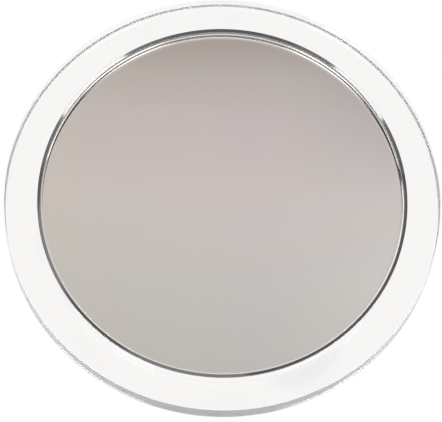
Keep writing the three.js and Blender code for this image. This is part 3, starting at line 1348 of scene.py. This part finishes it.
@dataclass
class Studio:
    """Camera, room light, soft lamps and floor."""

    camera_drop: float = 19.85  # degrees below the mirror's axis
    camera_side: float = -1.3  # degrees towards -X
    distance: float = 1.068
    lens: float = 250.15
    aim_below: float = 3.76 * MM
    aim_left: float = 0.54 * MM
    lamp_distance: float = 1.6
    even_light: float = 0.55
    least_forward: float = 0.2  # keeps the slopes of rays that hardly go forward in bounds
    lean_slopes: Triple = (0.22, 0.36, 0.50)  # low, middle and high slope up
    lean_low: float = -9.0  # how fast the tone falls with the square of the slope to -X, at the low one
    lean_high: float = 4.2  # and at the high one, where it rises
    drift_slope: float = 0.2  # slope across where the drift is full
    drift_left: Colour = (1.01, 1.03, 1.0)
    drift_middle: Colour = (0.9875, 0.9825, 0.9625)
    drift_right: Colour = (0.978, 0.979, 0.906)
    room_share: Pair = (0.45, 0.8)  # the ray's part along -Y where the room begins and is full
    floor_level: float = -1.2
    floor_radius: float = 14.0
    floor_steps: int = 64

    def build(self) -> None:
        """Sets up the whole studio."""
        self.build_camera()
        self.build_world()
        for lamp in LAMPS:
            lamp.hang(self.lamp_distance)
        self.build_floor()
        bpy.context.scene.view_settings.view_transform = "Standard"

    def build_camera(self) -> None:
        """Stands the camera below the axis, at its distance from the middle of the ring's front face."""
        face = Vector((0.0, reach("acrylic_ring")[1], 0.0))
        drop, side = np.radians(self.camera_drop), np.radians(self.camera_side)
        towards = Vector((np.sin(side) * np.cos(drop), -np.cos(side) * np.cos(drop), -np.sin(drop)))
        look = (-towards).to_track_quat("-Z", "Y")
        aim = face - look @ Vector((self.aim_left, self.aim_below, 0.0))
        data = bpy.data.cameras.new("camera")
        data.lens = self.lens
        camera = bpy.data.objects.new("camera", data)
        camera.rotation_mode = "QUATERNION"
        camera.rotation_quaternion = look
        camera.location = aim + towards * self.distance
        bpy.context.scene.collection.objects.link(camera)
        bpy.context.scene.camera = camera

    def build_world(self) -> None:
        """White all round for the camera, metal and glass, but for a warm grey room before the mirror.

        The room's tone follows the ray's slope up, z / -y, and leans with the square of its slope to -X.
        Its tint drifts with the slope across, x / -y. It fades out to white away from -Y. Diffuse
        surfaces get one even tone instead.
        """
        world = bpy.data.worlds.new("studio")
        bench = Bench(world)
        sight = bench.node("ShaderNodeTexCoord", output="Generated")
        ray = bench.bare_node("ShaderNodeSeparateXYZ", inputs={0: sight})
        across, ahead, up = (Shade(bench, output) for output in ray.outputs)
        forward = -ahead
        near = forward.at_least(self.least_forward)
        slope_up, slope_across = up / near, across / near
        tone = bench.node("ShaderNodeValToRGB", {"stops": ROOM_TONES}, {"Fac": slope_up})
        low, level, high = self.lean_slopes
        side = (-slope_across).at_least(0.0)
        below = bench.span(slope_up, low, level, self.lean_low, 0.0)
        above = bench.span(slope_up, level, high, 0.0, self.lean_high)
        gain = bench.span(side * side * (below + above), -1.0, 1.0, 0.0, 2.0)
        to_middle = bench.span(slope_across, -self.drift_slope, 0.0)
        to_right = bench.span(slope_across, 0.0, self.drift_slope)
        drift = bench.mix(to_middle, self.drift_left, self.drift_middle)
        drift = bench.mix(to_right, drift, self.drift_right)
        room = bench.vector("MULTIPLY", {0: bench.vector("SCALE", {0: tone, "Scale": gain}), 1: drift})
        seen = bench.mix(bench.span(forward, *self.room_share), WHITE, room)
        camera, glossy, clear = bench.rays()
        behind = bench.mix(camera, (self.even_light,) * 3, WHITE)
        colour = bench.mix(glossy.at_least(clear), behind, seen)
        light = bench.node("ShaderNodeBackground", inputs={"Color": colour})
        bench.bare_node("ShaderNodeOutputWorld", inputs={"Surface": light})
        bpy.context.scene.world = world

    def build_floor(self) -> None:
        """A wide, flat, pale disc far below: one ring of triangles round a middle point."""
        steps = self.floor_steps
        angle = np.linspace(0.0, FULL_TURN, steps, endpoint=False)
        rim = np.stack([np.cos(angle), np.sin(angle), np.zeros(steps)], -1) * self.floor_radius
        points = np.concatenate([rim, [[0.0, 0.0, 0.0]]]) + [0.0, 0.0, self.floor_level]
        step = np.arange(steps)
        faces = np.stack([step, (step + 1) % steps, np.full(steps, steps)], -1)
        mesh = bpy.data.meshes.new("floor")
        mesh.from_pydata(points.tolist(), [], faces.tolist())
        mesh.materials.append(FLOOR_PAPER.material())
        floor = bpy.data.objects.new("floor", mesh)
        bpy.context.scene.collection.objects.link(floor)


def main() -> None:
    """Builds the studio, then the mirror from its ring to its cups."""
    logging.basicConfig(level=logging.INFO, format="%(name)s: %(message)s")
    Studio().build()
    ClearRing().build()
    MirrorPlate().build()
    RearTray().build()
    for number in CUP_NUMBERS:
        CupFixing(number).build()


if __name__ == "__main__":
    main()
